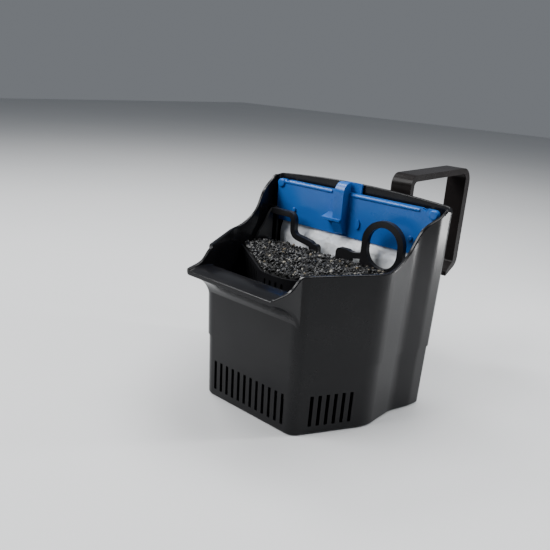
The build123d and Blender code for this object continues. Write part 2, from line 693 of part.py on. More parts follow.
def frame_strap():
    """Clip strap that rises up the front of the cartridge and arches back over its top."""
    profile = FilletPolyline(
        (0, PANEL_Y + 1, PANEL_LOW + 2), (0, STRAP_FRONT_Y + 4, PANEL_LOW + 2),
        (0, STRAP_FRONT_Y, PANEL_LOW + 10),
        (0, STRAP_FRONT_Y, CLIP_TOP), (0, PANEL_Y + 1, CLIP_TOP), radius=[1.0, 2.0, 7.0],
    )
    close = Line((0, PANEL_Y + 1, CLIP_TOP), (0, PANEL_Y + 1, PANEL_LOW + 2))
    body = extrude(make_face(Curve() + [profile, close]), STRAP_X[1] - STRAP_X[0], dir=(1, 0, 0))
    return Pos(STRAP_X[0], 0, 0) * body


def finger_ledge():
    """Small sloped ledge across the strap for a fingertip."""
    profile = Polyline(
        (0, PANEL_Y + 0.5, 125.2), (0, STRAP_FRONT_Y - 1.4, 122.4), (0, STRAP_FRONT_Y - 1.4, 120.8),
        (0, PANEL_Y + 0.5, 117.6), close=True,
    )
    ledge = extrude(make_face(profile), 16.5, dir=(1, 0, 0))
    return Pos(-18.5, 0, 0) * ledge


def top_bead(x_low, x_high):
    return rod_x(BEAD_R, (x_low, x_high), PANEL_Y + 0.5, PANEL_TOP - BEAD_R - 0.4)


def make_cartridge_frame_front():
    panel = between((-PANEL_HALF, PANEL_HALF), (PANEL_Y, PANEL_Y + PANEL_T), (PANEL_LOW, PANEL_TOP))
    panel = fillet(panel.edges().filter_by(Axis.Y), 3.0)
    panel += top_bead(-63.0, -17.0) + top_bead(0.5, 56.0)
    for side in (-1, 1):
        ear = rod_y(3.4, side * (PANEL_HALF - 3.4), (PANEL_Y - 1.6, PANEL_Y + 1), PANEL_TOP - 3.4)
        panel += fillet(ear.faces().sort_by(Axis.Y)[0].edges(), 1.2)
        notch_x = side * (PANEL_HALF - 10.0)
        panel -= rod_y(1.7, notch_x, (PANEL_Y - 3, PANEL_Y + 4), PANEL_TOP)
        pip = rod_y(1.9, side * PIP_X, (PANEL_Y - 1.5, PANEL_Y + 1), PIP_Z)
        panel += fillet(pip.faces().sort_by(Axis.Y)[0].edges(), 0.7)
    oval = Pos(OVAL_X, PANEL_Y + 0.5, OVAL_Z) * Rot(90, 0, 0) * extrude(Ellipse(1.9, 3.6), 1.8)
    panel += oval
    panel += frame_strap() + finger_ledge()
    return panel


def make_cartridge_frame_back():
    y = PANEL_Y + PANEL_T + BAG_TOP_T
    back = between((-PANEL_HALF + 1, PANEL_HALF - 1), (y, y + 1.7), (PANEL_LOW + 3, PANEL_TOP - 1))
    back = fillet(back.edges().filter_by(Axis.Y), 3.0)
    tab = between((-9.5, 6.5), (y, y + 1.7), (PANEL_TOP - 6, CLIP_TOP))
    tab = fillet(tab.edges().filter_by(Axis.Y).group_by(Axis.Z)[-1], 1.5)
    back += tab
    for side in (-1, 1):
        window = between(sorted((side * 20.0, side * 58.0)), (y - 1, y + 3), (PANEL_LOW + 8, PANEL_TOP - 9))
        back -= fillet(window.edges().filter_by(Axis.Y), 2.0)
    return back


def make_floss_bag():
    top = between((-BAG_HALF, BAG_HALF), (PANEL_Y + PANEL_T, PANEL_Y + PANEL_T + BAG_TOP_T),
                  (PANEL_LOW - 2, PANEL_TOP - 8))
    pouch = between((-BAG_HALF, BAG_HALF), (BAG_Y, BAG_Y + BAG_T), (BAG_LOW, PANEL_LOW - 0.4))
    return top + fillet(pouch.edges(), 3.2) - make_carbon_fill()


def make_carbon_fill():
    y = (BAG_Y + BAG_SKIN, BAG_Y + BAG_T - BAG_SKIN)
    return between((-BAG_HALF + 8, BAG_HALF - 8), y, (BAG_LOW + 6, PANEL_LOW - 10))


def long_disc(radius, y):
    """Disc with its lower half moved down by the ring's straight stretch."""
    disc = rod_y(radius, RING_X, y, RING_Z) + rod_y(radius, RING_X, y, RING_Z - RING_DROP)
    return disc + between((RING_X - radius, RING_X + radius), y, (RING_Z - RING_DROP, RING_Z))


def pull_ring():
    """Round pull ring on a stem that runs down its left side into the basket's rail."""
    y = (ARM_Y - ARM_T / 2, ARM_Y + ARM_T / 2)
    ring = long_disc(RING_R, y)
    ring += between((RING_X - RING_R, RING_X - RING_R + RING_BAR), y, (RAIL_LOW, RING_Z))
    ring += between((RING_X - 4.0, RING_X + 4.0), y, (RAIL_LOW, RING_Z - RING_DROP - RING_R + 2))
    return ring - long_disc(RING_R - RING_BAR, (ARM_Y - 5, ARM_Y + 5))


def swept_bar(points, radii):
    """Flat bar of the arm's width along a rounded path in X and Z."""
    path = FilletPolyline(*[(x, ARM_Y, z) for x, z in points], radius=radii)
    start = Plane(path @ 0, x_dir=(0, 1, 0), z_dir=path % 0)
    return sweep(start * Rectangle(ARM_T, ARM_W), path=path)


def scrubber_arm():
    """Bar along the top left that drops in an S down to the basket's rail."""
    left = swept_bar(
        [(-63.0, 118.8), (-41.0, 118.8), (-41.0, 103.4), (-20.0, 99.8), (-20.0, RAIL_LOW + 2)],
        [4.5, 6.0, 4.5],
    )
    y = (ARM_Y - ARM_T / 2, ARM_Y + ARM_T / 2)
    post = between((-24.0, -15.4), y, (RAIL_LOW + 1, 101.0))
    post = fillet(post.edges().filter_by(Axis.Y).group_by(Axis.Z)[-1], 3.0)
    block = between((1.0, 14.0), y, (RAIL_LOW + 1, 104.2))
    block = fillet(block.edges().filter_by(Axis.Y).group_by(Axis.Z)[-1], 3.6)
    bridge = swept_bar([(6.0, 101.6), (16.0, 101.0), (26.0, 103.0)], [8.0])
    return left + post + block + bridge


def basket_side(side):
    """Side plate with a top edge that falls away towards the front."""
    top = Spline(
        (0, 38.0, 120.6), (0, 30.0, 111.0), (0, 20.0, 97.0),
        tangents=[(0, -1, -0.5), (0, -0.3, -1)],
    )
    rest = Polyline((0, 20.0, 97.0), (0, 20.0, RAIL_LOW), (0, 38.0, RAIL_LOW), (0, 38.0, 120.6))
    plate = extrude(make_face(Curve() + [top, rest]), BASKET_T, dir=(1, 0, 0))
    x = side * 63.0 - (0 if side > 0 else BASKET_T)
    return Pos(x, 0, 0) * plate


def basket_plan(z, inset):
    """Outline of the basket or of the media in the front chamber."""
    room = plan(z, WALL + inset)
    return room & (Pos(0, BASKET_BACK_Y - 100, z) * Rectangle(200, 200))


def make_scrubber_frame():
    y_back = (BASKET_BACK_Y - BASKET_T, BASKET_BACK_Y)
    floor_plate = extrude(basket_plan(BASKET_LOW, MEDIA_GAP), BASKET_T)
    for i in range(-5, 6):
        for j in range(-4, 3):
            floor_plate -= Pos(i * 10.0, j * 10.0 + 4.0, BASKET_LOW) * Cylinder(3.0, 10)
    frame = floor_plate
    half = 60.0
    for i in range(9):
        x = (i - 4) * 15.0
        frame += between((x - 1.5, x + 1.5), y_back, (BASKET_LOW, RAIL_LOW + 1))
    for z in (68.0, 77.0):
        frame += between((-half, half), y_back, (z - 1.2, z + 1.2))
    frame += between((-half - 5.0, half + 5.0), (BASKET_BACK_Y - BASKET_T, ARM_Y + ARM_T / 2),
                    (RAIL_LOW, RAIL_LOW + 5))
    frame += scrubber_arm() + pull_ring()
    for side in (-1, 1):
        frame += basket_side(side)
    return frame


def media_plan(grow=0.0):
    """Plan of the media pad, grown outwards: it stands back from the spillway in a blunt nose."""
    front, step = MEDIA_NOSE_Y - grow, MEDIA_STEP_Y - grow
    right = [(80, 60), (80, step), (64 + 0.36 * grow, step), (10 + 0.36 * grow, front)]
    corners = right + [(-x, y) for x, y in reversed(right)]
    radii = [0, 0, 12 - grow, 22 + grow]
    return make_face(FilletPolyline(*corners, radius=radii + radii[::-1], close=True))


def curtain_slots():
    """Upright slots through the curtain, square to its middle and its two slanting walls."""
    tall = (BASKET_LOW + 5.0, CURTAIN_TOP - 4.0)
    half = CURTAIN_SLOT / 2
    tool = Part()
    for x in (-7.5, -2.5, 2.5, 7.5):
        tool += between((x - half, x + half), (MEDIA_NOSE_Y - 4, MEDIA_NOSE_Y + 2), tall)
    slope = math.atan2(MEDIA_STEP_Y - MEDIA_NOSE_Y, 54.0)
    for i in range(9):
        reach = 13.0 + 5.0 * i
        x, y = 10.0 + reach * math.cos(slope), MEDIA_NOSE_Y + reach * math.sin(slope)
        for side in (-1, 1):
            cut = between((-half, half), (-4, 4), tall)
            tool += Pos(side * x, y, 0) * Rot(0, 0, side * math.degrees(slope)) * cut
    return tool


def make_basket_curtain():
    """Slotted wall that stands on the basket's floor and holds the media's free front edge."""
    low = BASKET_LOW + BASKET_T
    height = CURTAIN_TOP - low
    wall = extrude(media_plan(MEDIA_PLAY + CURTAIN_T), height) - extrude(media_plan(MEDIA_PLAY), height)
    wall = Pos(0, 0, low) * wall - between((-100, 100), (MEDIA_STEP_Y + 4, 100), (low - 1, CURTAIN_TOP + 1))
    wall &= loft([plan(low, WALL + MEDIA_GAP), plan(CURTAIN_TOP, WALL + MEDIA_GAP)], ruled=True)
    return wall - curtain_slots()


def make_scrubber_media():
    low = BASKET_LOW + BASKET_T
    rear = BASKET_BACK_Y - BASKET_T
    block = loft([plan(low, WALL + MEDIA_GAP), plan(MEDIA_TOP, WALL + MEDIA_GAP)], ruled=True)
    block &= Pos(0, 0, low) * extrude(media_plan(), MEDIA_TOP - low)
    block -= between((-100, 100), (rear, 100), (low - 1, MEDIA_TOP + 1))
    for side in (-1, 1):
        block -= between(sorted((side * 62.6, side * 80.0)), (19.6, 40.0), (low - 1, MEDIA_TOP + 1))
    return block


PARTS = {
    "filter_tub": make_filter_tub,
    "base_housing": make_base_housing,
    "base_screws": make_base_screws,
    "intake_screen": make_intake_screen,
    "pump_case": make_pump_case,
    "pump_end_cap": make_pump_end_cap,
    "stator_core": make_stator_core,
    "coil_bobbin": make_coil_bobbin,
    "stator_coil": make_stator_coil,
    "cord_gland": make_cord_gland,
    "volute_cover": make_volute_cover,
    "cover_screws": make_cover_screws,
    "volute_seal": make_volute_seal,
    "front_bush": make_front_bush,
    "rear_bush": make_rear_bush,
    "impeller_shaft": make_impeller_shaft,
    "thrust_washers": make_thrust_washers,
    "rotor_magnet": make_rotor_magnet,
    "impeller": make_impeller,
    "riser_seal": make_riser_seal,
    "outlet_duct": make_outlet_duct,
    "pump_pads": make_pump_pads,
    "suction_cups": make_suction_cups,
    "hanging_bracket": make_hanging_bracket,
    "cartridge_frame_front": make_cartridge_frame_front,
    "cartridge_frame_back": make_cartridge_frame_back,
    "floss_bag": make_floss_bag,
    "carbon_fill": make_carbon_fill,
    "scrubber_frame": make_scrubber_frame,
    "basket_curtain": make_basket_curtain,
    "scrubber_media": make_scrubber_media,
}

os.makedirs("parts", exist_ok=True)
for name, make in PARTS.items():
    export_step(make(), f"parts/{name}.step")
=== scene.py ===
import math

import bpy
import numpy as np
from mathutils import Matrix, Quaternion, Vector, noise
from mathutils.bvhtree import BVHTree


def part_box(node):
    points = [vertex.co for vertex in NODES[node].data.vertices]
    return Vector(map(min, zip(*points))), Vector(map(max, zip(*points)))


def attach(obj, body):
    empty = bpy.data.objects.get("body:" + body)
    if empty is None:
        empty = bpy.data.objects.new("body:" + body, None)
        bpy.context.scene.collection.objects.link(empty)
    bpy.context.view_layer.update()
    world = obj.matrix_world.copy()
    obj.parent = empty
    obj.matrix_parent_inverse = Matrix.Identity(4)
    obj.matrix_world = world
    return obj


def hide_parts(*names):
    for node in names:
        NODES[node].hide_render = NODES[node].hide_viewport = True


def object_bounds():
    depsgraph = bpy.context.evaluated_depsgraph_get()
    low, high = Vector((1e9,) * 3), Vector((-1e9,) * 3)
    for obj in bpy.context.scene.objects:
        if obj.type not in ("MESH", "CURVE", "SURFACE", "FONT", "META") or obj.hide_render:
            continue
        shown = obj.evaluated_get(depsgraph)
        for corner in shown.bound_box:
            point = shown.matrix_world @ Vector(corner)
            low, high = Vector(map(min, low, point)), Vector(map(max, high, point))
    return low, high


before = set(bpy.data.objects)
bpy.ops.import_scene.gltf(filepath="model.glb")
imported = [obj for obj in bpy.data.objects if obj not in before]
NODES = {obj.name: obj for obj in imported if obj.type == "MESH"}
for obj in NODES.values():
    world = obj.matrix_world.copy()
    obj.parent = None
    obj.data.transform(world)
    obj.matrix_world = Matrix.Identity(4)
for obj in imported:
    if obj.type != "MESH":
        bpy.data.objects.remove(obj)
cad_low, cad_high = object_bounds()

# Internal power filter. Metres, in the model's own frame: +Z up, the spillway faces -Y.
# The frame holds the hard parts. This script gives them materials and rounded edges, and makes
# the granules, the floss bag, the coil and the rubber pieces that the frame only blocks out.

MM = 0.001
SEED = 11


# ---------------------------------------------------------------- shader helpers

def new_material(name):
    """Principled material and the parts that its texture nodes need."""
    material = bpy.data.materials.new(name)
    material.use_nodes = True
    tree = material.node_tree
    tree.nodes.clear()
    shader = tree.nodes.new("ShaderNodeBsdfPrincipled")
    output = tree.nodes.new("ShaderNodeOutputMaterial")
    tree.links.new(shader.outputs["BSDF"], output.inputs["Surface"])
    coords = tree.nodes.new("ShaderNodeTexCoord").outputs["Object"]
    return material, tree, shader, coords


def stretched(tree, coords, scale):
    """Coordinates with their own scale on each axis."""
    mapping = tree.nodes.new("ShaderNodeMapping")
    mapping.inputs["Scale"].default_value = scale
    tree.links.new(coords, mapping.inputs["Vector"])
    return mapping.outputs["Vector"]


def noise_field(tree, coords, size_mm, detail=3.0, rough=0.55, distortion=0.0):
    """Noise whose blotches are about size_mm across."""
    node = tree.nodes.new("ShaderNodeTexNoise")
    node.inputs["Scale"].default_value = 1.0 / (size_mm * MM)
    node.inputs["Detail"].default_value = detail
    node.inputs["Roughness"].default_value = rough
    node.inputs["Distortion"].default_value = distortion
    tree.links.new(coords, node.inputs["Vector"])
    return node.outputs["Fac"]


def colour_ramp(tree, value, stops):
    node = tree.nodes.new("ShaderNodeValToRGB")
    elements = node.color_ramp.elements
    while len(elements) < len(stops):
        elements.new(0.5)
    for element, (place, colour) in zip(elements, stops):
        element.position = place
        element.color = (*colour, 1.0)
    tree.links.new(value, node.inputs["Fac"])
    return node.outputs["Color"]


def ranged(tree, value, low, high):
    """Value from 0 to 1, mapped to low to high."""
    node = tree.nodes.new("ShaderNodeMapRange")
    node.inputs["From Min"].default_value = 0.25
    node.inputs["From Max"].default_value = 0.75
    node.inputs["To Min"].default_value = low
    node.inputs["To Max"].default_value = high
    tree.links.new(value, node.inputs["Value"])
    return node.outputs["Result"]


def add_bump(tree, shader, height, depth_mm, strength=1.0):
    """Bump on top of whatever bump the shader already has."""
    node = tree.nodes.new("ShaderNodeBump")
    node.inputs["Strength"].default_value = strength
    node.inputs["Distance"].default_value = depth_mm * MM
    tree.links.new(height, node.inputs["Height"])
    if shader.inputs["Normal"].links:
        tree.links.new(shader.inputs["Normal"].links[0].from_socket, node.inputs["Normal"])
    tree.links.new(node.outputs["Normal"], shader.inputs["Normal"])


def moulded_plastic(name, dark, light, gloss, grain=(0.35, 0.002), wave=(45.0, 0.02), shine=0.5):
    """Injection-moulded plastic: a faint grain, slow waviness and uneven gloss."""
    material, tree, shader, coords = new_material(name)
    cloudy = noise_field(tree, coords, 22.0, 4.0)
    tree.links.new(colour_ramp(tree, cloudy, [(0.3, dark), (0.7, light)]), shader.inputs["Base Color"])
    smear = noise_field(tree, coords, 14.0, 3.0, 0.5)
    tree.links.new(ranged(tree, smear, *gloss), shader.inputs["Roughness"])
    add_bump(tree, shader, noise_field(tree, coords, wave[0], 1.0), wave[1])
    add_bump(tree, shader, noise_field(tree, coords, grain[0], 2.0), grain[1])
    shader.inputs["Specular IOR Level"].default_value = shine
    return material


def soft_rubber(name, colour):
    material, tree, shader, coords = new_material(name)
    lighter = tuple(min(1.0, 1.7 * c + 0.01) for c in colour)
    bloom = noise_field(tree, coords, 5.0, 6.0, 0.7)
    tree.links.new(colour_ramp(tree, bloom, [(0.35, colour), (0.75, lighter)]), shader.inputs["Base Color"])
    tree.links.new(ranged(tree, bloom, 0.5, 0.72), shader.inputs["Roughness"])
    add_bump(tree, shader, noise_field(tree, coords, 0.25, 3.0), 0.01)
    shader.inputs["Sheen Weight"].default_value = 0.15
    return material


def bare_metal(name, dark, light, gloss, lines=(1.0, 1.0, 1.0), line_mm=0.4, depth_mm=0.006):
    """Metal with fine drawn lines across the axis whose scale is largest."""
    material, tree, shader, coords = new_material(name)
    streaks = noise_field(tree, stretched(tree, coords, lines), line_mm, 4.0, 0.7)
    tree.links.new(colour_ramp(tree, streaks, [(0.3, dark), (0.7, light)]), shader.inputs["Base Color"])
    tree.links.new(ranged(tree, streaks, *gloss), shader.inputs["Roughness"])
    add_bump(tree, shader, streaks, depth_mm)
    shader.inputs["Metallic"].default_value = 1.0
    return material


def granule_material():
    """Black coarse grains: each has its own shade, a few are grey or amber."""
    material, tree, shader, coords = new_material("media_granule")
    island = tree.nodes.new("ShaderNodeNewGeometry").outputs["Random Per Island"]
    shades = [
        (0.0, (0.003, 0.003, 0.003)), (0.74, (0.008, 0.008, 0.008)), (0.9, (0.022, 0.022, 0.023)),
        (0.955, (0.06, 0.06, 0.058)), (0.975, (0.11, 0.08, 0.04)), (0.992, (0.22, 0.21, 0.18)),
    ]
    tree.links.new(colour_ramp(tree, island, shades), shader.inputs["Base Color"])
    tree.links.new(ranged(tree, noise_field(tree, coords, 0.8, 3.0), 0.18, 0.5), shader.inputs["Roughness"])
    add_bump(tree, shader, noise_field(tree, coords, 0.35, 4.0, 0.7), 0.05)
    shader.inputs["Specular IOR Level"].default_value = 0.35
    return material


def floss_material():
    """Bonded white fibre: cloudy, soft and slightly translucent."""
    material, tree, shader, coords = new_material("floss_fibre")
    clouds = noise_field(tree, coords, 6.0, 5.0, 0.6)
    white = colour_ramp(tree, clouds, [(0.25, (0.68, 0.72, 0.78)), (0.6, (0.86, 0.88, 0.9))])
    tree.links.new(white, shader.inputs["Base Color"])
    shader.inputs["Roughness"].default_value = 0.85
    shader.inputs["Sheen Weight"].default_value = 0.5
    shader.inputs["Sheen Roughness"].default_value = 0.6
    shader.inputs["Subsurface Weight"].default_value = 0.12
    shader.inputs["Subsurface Radius"].default_value = (1.0, 1.0, 1.0)
    shader.inputs["Subsurface Scale"].default_value = 1.5 * MM
    for scale in ((5.0, 1.0, 0.5), (0.5, 1.0, 5.0), (2.5, 1.0, 2.5)):
        strands = noise_field(tree, stretched(tree, coords, scale), 0.8, 3.0, 0.6, 1.5)
        add_bump(tree, shader, strands, 0.18, 0.7)
    return material


def stacked_sheets():
    """Side of a pile of steel sheets, each 0.5 mm thick."""
    material, tree, shader, coords = new_material("stator_sheets")
    wave = tree.nodes.new("ShaderNodeTexWave")
    wave.bands_direction = "X"
    wave.inputs["Scale"].default_value = 0.314 / (0.5 * MM)
    wave.inputs["Distortion"].default_value = 0.4
    tree.links.new(coords, wave.inputs["Vector"])
    bands = wave.outputs["Fac"]
    rust = noise_field(tree, coords, 4.0, 5.0, 0.7)
    steel = colour_ramp(tree, rust, [(0.35, (0.3, 0.3, 0.31)), (0.72, (0.2, 0.13, 0.09))])
    tree.links.new(steel, shader.inputs["Base Color"])
    tree.links.new(ranged(tree, rust, 0.32, 0.6), shader.inputs["Roughness"])
    add_bump(tree, shader, bands, 0.12)
    shader.inputs["Metallic"].default_value = 0.85
    return material


def paint(node, material):
    """Every face of a node from the frame takes one material."""
    data = NODES[node].data
    data.materials.clear()
    data.materials.append(material)


# ---------------------------------------------------------------- mesh helpers

def mesh_piece(name, verts, faces, material, smooth=True):
    data = bpy.data.meshes.new(name)
    data.from_pydata([tuple(v) for v in verts], [], [tuple(f) for f in faces])
    data.polygons.foreach_set("use_smooth", [smooth] * len(data.polygons))
    data.materials.append(material)
    data.update()
    piece = bpy.data.objects.new(name, data)
    bpy.context.scene.collection.objects.link(piece)
    return piece


def soften_edges(node, width_mm, segments=3, angle=30.0):
    """Small round on every sharp edge of a node from the frame."""
    piece = NODES[node]
    weld = piece.modifiers.new("weld", "WELD")
    weld.merge_threshold = 0.002 * MM
    bevel = piece.modifiers.new("round", "BEVEL")
    bevel.width = width_mm * MM
    bevel.segments = segments
    bevel.limit_method = "ANGLE"
    bevel.angle_limit = math.radians(angle)
    bevel.miter_outer = "MITER_ARC"
    shade = piece.modifiers.new("shade", "WEIGHTED_NORMAL")
    shade.keep_sharp = False
    shade.weight = 60


# ---------------------------------------------------------------- stage, light and camera

FLOOR_HALF = 3.0
FLOOR_SHADES = [(0.2, (0.60, 0.61, 0.62)), (0.8, (0.64, 0.645, 0.65))]
MIDDLE = (0.0, 0.03, 0.09)
# Name, place, what it points at, size and power. The strip puts the band of light on the flared side
# wall, and the glint lights the beads of the cartridge frame and the rims.
LIGHTS = [
    ("key", (-0.55, -0.75, 0.95), MIDDLE, (0.7, 0.7), 22.0),
    ("top", (0.1, 0.35, 1.1), MIDDLE, (0.9, 0.5), 14.0),
    ("edge_strip", (0.35, 0.345, 0.20), (0.077, 0.055, 0.20), (0.05, 0.39), 2.0),
    ("rim_glint", (-0.66, 0.13, 0.96), MIDDLE, (0.35, 0.2), 5.0),
]
WORLD_COLOUR = (0.78, 0.83, 0.90, 1.0)
WORLD_STRENGTH = 0.22


def make_stage():
    material, tree, shader, coords = new_material("studio_floor")
    shade = colour_ramp(tree, noise_field(tree, coords, 400.0), FLOOR_SHADES)
    tree.links.new(shade, shader.inputs["Base Color"])
    shader.inputs["Roughness"].default_value = 0.6
    corners = [(x * FLOOR_HALF, y * FLOOR_HALF, 0) for x, y in ((-1, -1), (1, -1), (1, 1), (-1, 1))]
    floor = mesh_piece("studio_floor", corners, [(0, 1, 2, 3)], material)
    floor.location.z = cad_low.z


def area_light(name, place, target, size, power):
    data = bpy.data.lights.new(name, "AREA")
    data.shape = "RECTANGLE"
    data.size, data.size_y = size
    data.energy = power
    light = bpy.data.objects.new(name, data)
    light.location = place
    light.rotation_euler = (Vector(target) - Vector(place)).to_track_quat("-Z", "Y").to_euler()
    bpy.context.scene.collection.objects.link(light)


def make_lights():
    for light in LIGHTS:
        area_light(*light)
    world = bpy.data.worlds.new("studio")
    world.use_nodes = True
    background = world.node_tree.nodes["Background"]
    background.inputs["Color"].default_value = WORLD_COLOUR
    background.inputs["Strength"].default_value = WORLD_STRENGTH
    bpy.context.scene.world = world


CAMERA_PLACE = (0.2488, -0.3215, 0.2209)
CAMERA_AZIMUTH = math.radians(40.37)
CAMERA_ELEVATION = math.radians(18.13)
CAMERA_ROLL = math.radians(4.06)
CAMERA_LENS = 40.37


def make_camera():
    data = bpy.data.cameras.new("camera")
    data.sensor_width = 36.0
    data.lens = CAMERA_LENS
    camera = bpy.data.objects.new("camera", data)
    camera.location = CAMERA_PLACE
    back = Vector((
        math.sin(CAMERA_AZIMUTH) * math.cos(CAMERA_ELEVATION),
        -math.cos(CAMERA_AZIMUTH) * math.cos(CAMERA_ELEVATION),
        math.sin(CAMERA_ELEVATION),
    ))
    facing = (-back).to_track_quat("-Z", "Y")
    roll = Quaternion((0, 0, 1), CAMERA_ROLL)
    camera.rotation_mode = "QUATERNION"
    camera.rotation_quaternion = facing @ roll
    bpy.context.scene.collection.objects.link(camera)
    bpy.context.scene.camera = camera


# ---------------------------------------------------------------- loose grains

TRIES_PER_PLACE = 5
GRAIN_SPREAD = 0.3              # spread of the logarithm of a grain's size
GRAIN_LEAST = 0.6 * MM
GRAIN_MOST = 1.9 * MM
PELLET = 0.8 * MM
PELLET_COUNT = 1300


def node_triangles(node):
    """Corners of every triangle of a node, as an array (triangle, corner, axis)."""
    data = NODES[node].data
    data.calc_loop_triangles()
    points = np.empty(len(data.vertices) * 3)
    data.vertices.foreach_get("co", points)
    corners = np.empty(len(data.loop_triangles) * 3, dtype=np.int32)
    data.loop_triangles.foreach_get("vertices", corners)
    return points.reshape(-1, 3)[corners.reshape(-1, 3)]


def scattered(triangles, spacing, rng):
    """Points on the triangles that stay at least spacing apart, with their normals."""
    edge_a = triangles[:, 1] - triangles[:, 0]
    edge_b = triangles[:, 2] - triangles[:, 0]
    normals = np.cross(edge_a, edge_b)
    areas = np.linalg.norm(normals, axis=1) / 2
    normals /= np.maximum(np.linalg.norm(normals, axis=1), 1e-12)[:, None]
    tries = int(areas.sum() / spacing ** 2 * TRIES_PER_PLACE)
    chosen = rng.choice(len(triangles), tries, p=areas / areas.sum())
    u, v = rng.random(tries), rng.random(tries)
    over = u + v > 1
    u[over], v[over] = 1 - u[over], 1 - v[over]
    points = triangles[chosen, 0] + u[:, None] * edge_a[chosen] + v[:, None] * edge_b[chosen]
    cells, kept = {}, []
    keys = np.floor(points / spacing).astype(int)
    near = [(i, j, k) for i in (-1, 0, 1) for j in (-1, 0, 1) for k in (-1, 0, 1)]
    for index, (point, key) in enumerate(zip(points, keys)):
        around = [cells.get((key[0] + i, key[1] + j, key[2] + k)) for i, j, k in near]
        if all(q is None or np.dot(point - q, point - q) > spacing ** 2 for q in around):
            cells[tuple(key)] = point
            kept.append(index)
    return points[kept], normals[chosen[kept]]


def crushed_grains(rng, kinds=10):
    """Unit grains: icosahedra pushed out of shape, as (vertices of each kind, shared faces)."""
    golden = (1 + 5 ** 0.5) / 2
    corners = []
    for i in range(3):
        for a in (-1, 1):
            for b in (-golden, golden):
                corner = [0.0, 0.0, 0.0]
                corner[(i + 1) % 3], corner[(i + 2) % 3] = a, b
                corners.append(corner)
    corners = np.array(corners) / math.hypot(1, golden)
    faces = []
    for i in range(12):
        for j in range(i + 1, 12):
            for k in range(j + 1, 12):
                sides = [corners[i] - corners[j], corners[j] - corners[k], corners[k] - corners[i]]
                if max(np.linalg.norm(side) for side in sides) < 1.2:
                    outward = np.dot(np.cross(sides[0], sides[1]), corners[i]) > 0
                    faces.append((i, j, k) if outward else (i, k, j))
    shapes = []
    for _ in range(kinds):
        reach = rng.uniform(0.72, 1.18, (12, 1))
        shapes.append(corners * reach * rng.uniform([0.85, 0.7, 0.62], [1.12, 1.0, 0.92]))
    return np.array(shapes), np.array(faces)


def random_turns(rng, count):
    """Rotation matrices spread evenly over all directions."""
    q = rng.normal(size=(count, 4))
    w, x, y, z = (q / np.linalg.norm(q, axis=1)[:, None]).T
    return np.array([
        [1 - 2 * (y * y + z * z), 2 * (x * y - z * w), 2 * (x * z + y * w)],
        [2 * (x * y + z * w), 1 - 2 * (x * x + z * z), 2 * (y * z - x * w)],
        [2 * (x * z - y * w), 2 * (y * z + x * w), 1 - 2 * (x * x + y * y)],
    ]).transpose(2, 0, 1)


def grain_piece(name, places, radii, rng, material):
    """One mesh of loose grains, each with its own shape, turn and size."""
    shapes, faces = crushed_grains(rng)
    count = len(places)
    local = shapes[rng.integers(0, len(shapes), count)] * radii[:, None, None]
    turned = np.einsum("nij,nkj->nki", random_turns(rng, count), local)
    verts = (turned + places[:, None, :]).reshape(-1, 3)
    every = (faces[None] + 12 * np.arange(count)[:, None, None]).reshape(-1, 3)
    return mesh_piece(name, verts, every, material, smooth=False)


def make_media():
    """Bed of coarse grains: packed on top, looser down its sides, with a near-black core inside as painted
    shade between them.
    """
    rng = np.random.default_rng(SEED)
    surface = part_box("scrubber_media")[1].z
    triangles = node_triangles("scrubber_media")
    on_top = triangles[:, :, 2].min(axis=1) > surface - 0.1 * MM
    # Triangles, spacing, grain size, and how far from the surface a grain's middle lies, in mm.
    groups = [
        (triangles[on_top], 1.75 * MM, 1.25 * MM, (-0.6, 0.3)),
        (triangles[~on_top], 2.2 * MM, 1.2 * MM, (-1.5, -1.0)),
    ]
    places, radii = [], []
    for group, spacing, size, reach in groups:
        points, normals = scattered(group, spacing, rng)
        outward = rng.uniform(*reach, len(points)) * MM
        places.append(points + normals * outward[:, None])
        sizes = rng.lognormal(0.0, GRAIN_SPREAD, len(points)) * size
        radii.append(np.clip(sizes, GRAIN_LEAST, GRAIN_MOST))
    places, radii = np.concatenate(places), np.concatenate(radii)
    lump = np.array([noise.noise(Vector(p) / (9 * MM)) for p in places])
    top = places[:, 2] > surface - 1.5 * MM
    places[top, 2] += lump[top] * 1.1 * MM
    grains = grain_piece("media_grains", places, radii, rng, GRANULE)
    # The core is painted shade: a near-black remeshed copy of the bed that darkens the gaps between the
    # grains in place of deeper grains in shade.
    core = shrunk_copy("media_painted_shade_core", "scrubber_media", 1.0 * MM, 2.2 * MM, MEDIA_PAINTED_SHADE)
    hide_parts("scrubber_media")
    for piece in (grains, core):
        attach(piece, "scrubber")


def shrunk_copy(name, node, inset, cell, material):
    """Remeshed copy of a node, drawn in a little and roughened."""
    copy = bpy.data.objects.new(name, NODES[node].data.copy())
    bpy.context.scene.collection.objects.link(copy)
    remesh = copy.modifiers.new("cells", "REMESH")
    remesh.mode = "VOXEL"
    remesh.voxel_size = cell
    graph = bpy.context.evaluated_depsgraph_get()
    data = bpy.data.meshes.new_from_object(copy.evaluated_get(graph))
    bpy.data.objects.remove(copy)
    normals = [vertex.normal.copy() for vertex in data.vertices]
    for vertex, normal in zip(data.vertices, normals):
        wobble = noise.noise(vertex.co / (3 * MM)) * 0.5 * MM
        vertex.co -= normal * (inset - wobble)
    data.materials.clear()
    data.materials.append(material)
    data.name = name
    piece = bpy.data.objects.new(name, data)
    bpy.context.scene.collection.objects.link(piece)
    return piece


def make_carbon():
    """Carbon pellets that lie loose inside the bag."""
    rng = np.random.default_rng(SEED + 1)
    low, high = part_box("carbon_fill")
    floor, ceiling = np.array([low, high]) + np.array([[PELLET], [-PELLET]])
    places = rng.uniform(floor, ceiling, (PELLET_COUNT, 3))
    places[:, 2] = floor[2] + (places[:, 2] - floor[2]) * rng.uniform(0.4, 1.0, PELLET_COUNT)
    radii = rng.uniform(0.6, 1.0, PELLET_COUNT) * PELLET
    pellets = grain_piece("carbon_pellets", places, radii, rng, CARBON)
    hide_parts("carbon_fill")
    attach(pellets, "cartridge")


# ---------------------------------------------------------------- floss bag

